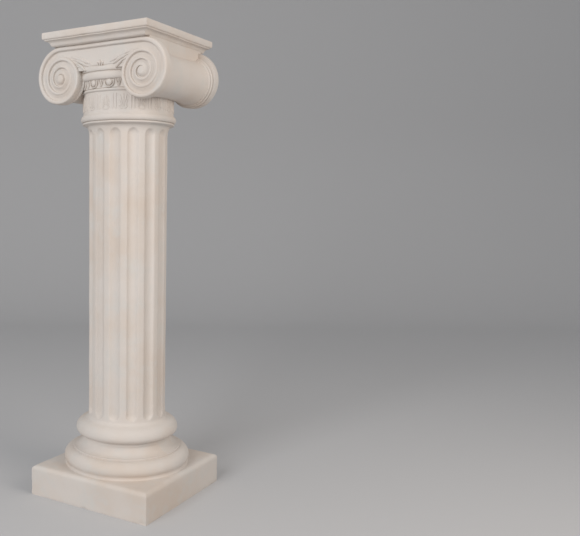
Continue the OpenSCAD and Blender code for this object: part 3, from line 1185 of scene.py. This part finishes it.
# %% [markdown]
# ## One casting
#
# All the solids are melted into one skin with the Boolean modifier. Its Manifold solver is
# fast, and gives a closed mesh whenever it is given closed meshes. Then one more tree gives
# the skin the unevenness of hand-finished plaster: two sizes of smooth noise drag each point a
# fraction of a millimetre. Pushing along the normals would fold the thinnest slivers of the
# Boolean, while a drifting direction carries neighbours along together. The push dies out at
# the floor and at the top, which stay flat. Last, only the crisp lines of the mouldings are
# shaded as edges, and all the rest is shaded smooth.

# %% Melt
column_piece = union(shaft, [base, plinth, rings, eggs, darts, rods, palmettes, flowers])
union(column_piece, [block, shoulder, *bolsters, *scrolls, abacus, *leaves])
column_piece.name = "column_plaster"
print("melted:", len(column_piece.data.polygons), "faces")

# %% Uneven skin
skin_tree, size, leave = new_tree("uneven plaster", {
    "Broad": number, "Broad size": number, "Fine": number, "Fine size": number,
    "Level zone": number, "Top": number, "Plaster": "Material",
})
spot = skin_tree.nodes.new("GeometryNodeInputPosition")
parts = skin_tree.nodes.new("ShaderNodeSeparateXYZ")
skin_tree.links.new(spot.outputs[0], parts.inputs[0])
up = Sum(skin_tree, parts.outputs["Z"])
over_floor = (up / size["Level zone"]).between(0, 1)
under_top = ((size["Top"] - up) / size["Level zone"]).between(0, 1)
level = over_floor * under_top


def vector_math(operation, first, second):
    """One Vector Math node; the second value is a plain vector or a socket."""
    node = skin_tree.nodes.new("ShaderNodeVectorMath")
    node.operation = operation
    skin_tree.links.new(first, node.inputs[0])
    if isinstance(second, tuple):
        node.inputs[1].default_value = second
    elif operation == "SCALE":
        skin_tree.links.new(second, node.inputs["Scale"])
    else:
        skin_tree.links.new(second, node.inputs[1])
    return node.outputs[0]


def wave(height, lump_size, seed):
    """A smooth push in a direction that drifts, with lumps of about the given size."""
    node = skin_tree.nodes.new("ShaderNodeTexNoise")
    node.noise_dimensions = "4D"
    node.inputs["W"].default_value = seed
    node.inputs["Detail"].default_value = 1.0
    skin_tree.links.new(spot.outputs[0], node.inputs["Vector"])
    skin_tree.links.new(lump_size.math("POWER", -1.0).socket, node.inputs["Scale"])
    middle = vector_math("SUBTRACT", node.outputs["Color"], (0.5, 0.5, 0.5))
    return vector_math("SCALE", middle, (height * level * 2).socket)


broad = wave(size["Broad"], size["Broad size"], 3.0)
fine = wave(size["Fine"], size["Fine size"], 8.0)
shift = skin_tree.nodes.new("GeometryNodeSetPosition")
skin_tree.links.new(size["Geometry"].socket, shift.inputs["Geometry"])
skin_tree.links.new(vector_math("ADD", broad, fine), shift.inputs["Offset"])
finish_tree(skin_tree, shift.outputs["Geometry"], size["Plaster"], leave)
print("uneven plaster tree:", len(skin_tree.nodes), "nodes")

# %% The finished skin
CREASE_ANGLE = 32
run_tree(column_piece, skin_tree, {
    "Broad": 0.8 * MM, "Broad size": 45 * MM, "Fine": 0.25 * MM, "Fine size": 11 * MM,
    "Level zone": 5 * MM, "Top": column_h * MM, "Plaster": PLASTER,
})
mesh = column_piece.data
mesh.name = "column_plaster"
mesh.shade_smooth()
mesh.set_sharp_from_angle(angle=math.radians(CREASE_ANGLE))
mesh.calc_loop_triangles()
print("column:", len(mesh.loop_triangles), "triangles")

# %% [markdown]
# ## The plaster
#
# Cast plaster is matt and warm white. Its colour is never quite even: it yellows in broad
# patches, and is a little cooler in others. A plain colour would
# look like plastic. The patches are noise on Object coordinates, so they stay on the plaster
# wherever it is seen from. The hollows get painted shade: an Ambient Occlusion node tells how
# closed in a point is, and the colour there is mixed towards a darker brown. Fine grain and a few
# air bubbles are bump.

# %% Shader and helpers
PLASTER.use_nodes = True
nodes = PLASTER.node_tree.nodes
links = PLASTER.node_tree.links
shader = next(node for node in nodes if node.type == "BSDF_PRINCIPLED")
shader.inputs["Roughness"].default_value = 0.78
shader.inputs["Specular IOR Level"].default_value = 0.3
where = nodes.new("ShaderNodeTexCoord").outputs["Object"]


def noise_of(scale, detail, rough=0.5):
    """Noise between 0 and 1; scale is its number of lumps in a metre."""
    node = nodes.new("ShaderNodeTexNoise")
    node.inputs["Scale"].default_value = scale
    node.inputs["Detail"].default_value = detail
    node.inputs["Roughness"].default_value = rough
    links.new(where, node.inputs["Vector"])
    return node.outputs["Fac"]


def spread(socket, low, high):
    """Maps low..high to 0..1."""
    node = nodes.new("ShaderNodeMapRange")
    node.inputs["From Min"].default_value = low
    node.inputs["From Max"].default_value = high
    links.new(socket, node.inputs["Value"])
    return node.outputs["Result"]


def blend(share, first, second):
    """Mixes two colours; each is a colour or a socket."""
    node = nodes.new("ShaderNodeMix")
    node.data_type = "RGBA"
    links.new(share, node.inputs["Factor"])
    for name, value in (("A", first), ("B", second)):
        slot = next(s for s in node.inputs if s.name == name and s.type == "RGBA")
        if isinstance(value, tuple):
            slot.default_value = (*value, 1)
        else:
            links.new(value, slot)
    return next(s for s in node.outputs if s.type == "RGBA")


print("roughness", round(shader.inputs["Roughness"].default_value, 2))

# %% Colour of the plaster
CLEAN = (0.70, 0.645, 0.60)
WARM = (0.67, 0.585, 0.515)
COOL = (0.665, 0.635, 0.60)
# the darker brown of the painted shade in hollows, creases and under overhangs
SHADE_TINT = (0.55, 0.48, 0.42)
colour = blend(spread(noise_of(9, 3), 0.42, 0.68), CLEAN, WARM)
colour = blend(spread(noise_of(23, 4, 0.6), 0.5, 0.75), colour, COOL)
# painted shade: the colour turns darker where the Ambient Occlusion node finds a point closed in
closed_in = nodes.new("ShaderNodeAmbientOcclusion")
closed_in.samples = 8
closed_in.inputs["Distance"].default_value = 12 * MM
shade_share = spread(closed_in.outputs["AO"], 0.62, 0.15)
colour = blend(shade_share, colour, SHADE_TINT)
links.new(colour, shader.inputs["Base Color"])
print("colours: clean", CLEAN, "warm", WARM, "cool", COOL, "painted_shade", SHADE_TINT)

# %% Grain and air bubbles
grain = nodes.new("ShaderNodeBump")
grain.inputs["Strength"].default_value = 0.35
grain.inputs["Distance"].default_value = 0.6 * MM
links.new(noise_of(420, 6, 0.65), grain.inputs["Height"])
bubbles = nodes.new("ShaderNodeTexVoronoi")
bubbles.inputs["Scale"].default_value = 70
links.new(where, bubbles.inputs["Vector"])
pits = nodes.new("ShaderNodeBump")
pits.inputs["Strength"].default_value = 0.5
pits.inputs["Distance"].default_value = 0.8 * MM
patches = nodes.new("ShaderNodeMath")
patches.operation = "MAXIMUM"
links.new(spread(bubbles.outputs["Distance"], 0.02, 0.06), patches.inputs[0])
links.new(spread(noise_of(14, 2), 0.62, 0.52), patches.inputs[1])
links.new(patches.outputs[0], pits.inputs["Height"])
links.new(grain.outputs["Normal"], pits.inputs["Normal"])
links.new(pits.outputs["Normal"], shader.inputs["Normal"])
print("plaster:", len(nodes), "nodes")

# %% [markdown]
# ## Floor and light
#
# A matt floor that bends up into a backdrop keeps the picture calm, and it is a little darker
# than the plaster so that the column stands out. One large soft lamp in front of the column and
# above it makes the modelling read, a small warm one on the right opens the shaded side, and
# the even light of the world fills the rest. Three lamps round it would light it evenly, but
# then the flutes and the scrolls would look flat.

# %% Floor and backdrop
floor_front, floor_back, bend_r, wall_top, floor_half = -6, 2.2, 1.2, 6, 9
floor_paint = bpy.data.materials.new("studio")
floor_paint.use_nodes = True
floor_shader = next(n for n in floor_paint.node_tree.nodes if n.type == "BSDF_PRINCIPLED")
floor_shader.inputs["Base Color"].default_value = (0.58, 0.58, 0.59, 1)
floor_shader.inputs["Roughness"].default_value = 0.9
away = Vector((-math.sin(math.radians(HEADING)), math.cos(math.radians(HEADING)), 0))
sideways = Vector((away.y, -away.x, 0))
sweep = [(floor_front, 0), (floor_back, 0)]
sweep += arc((floor_back, bend_r), (bend_r, bend_r), -90, 0, 16)[1:]
sweep += [(floor_back + bend_r, wall_top)]
points = []
for out, up in sweep:
    for across in (-floor_half, floor_half):
        spot = away * out + sideways * across
        points.append((spot.x, spot.y, up))
floor_mesh = bpy.data.meshes.new("studio_floor")
floor_mesh.from_pydata(points, [], grid_faces(len(sweep), 2, False))
floor_mesh.shade_smooth()
floor = bpy.data.objects.new("studio_floor", floor_mesh)
floor.data.materials.append(floor_paint)
scene.collection.objects.link(floor)
print("floor:", 2 * floor_half, "m wide")

# %% Lamps
LOOK_AT = Vector((0, 0, 0.5))


def soft_lamp(name, position, power, size_m, tint=(1, 1, 1)):
    """A square lamp that looks at the middle of the column; power is in watts."""
    lamp_data = bpy.data.lights.new(name, "AREA")
    lamp_data.energy = power
    lamp_data.size = size_m
    lamp_data.color = tint
    lamp = bpy.data.objects.new(name, lamp_data)
    lamp.location = position
    lamp.rotation_euler = (LOOK_AT - Vector(position)).to_track_quat("-Z", "Y").to_euler()
    scene.collection.objects.link(lamp)


soft_lamp("key", (0.0, -3.4, 2.0), 64, 1.8)
soft_lamp("fill", (1.7, -0.2, 1.3), 12, 1.0, (1.0, 0.91, 0.82))
print("lamps:", len(bpy.data.lights))

# %% World and view
world = bpy.data.worlds.new("studio_air")
world.use_nodes = True
air = world.node_tree.nodes["Background"]
air.inputs["Color"].default_value = (1, 1, 1, 1)
air.inputs["Strength"].default_value = 0.40
scene.world = world
scene.view_settings.view_transform = "Standard"
print("world strength", round(air.inputs["Strength"].default_value, 2))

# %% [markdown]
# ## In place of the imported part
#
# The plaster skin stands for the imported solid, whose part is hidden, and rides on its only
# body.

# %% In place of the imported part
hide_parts("column")
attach(column_piece, "root")
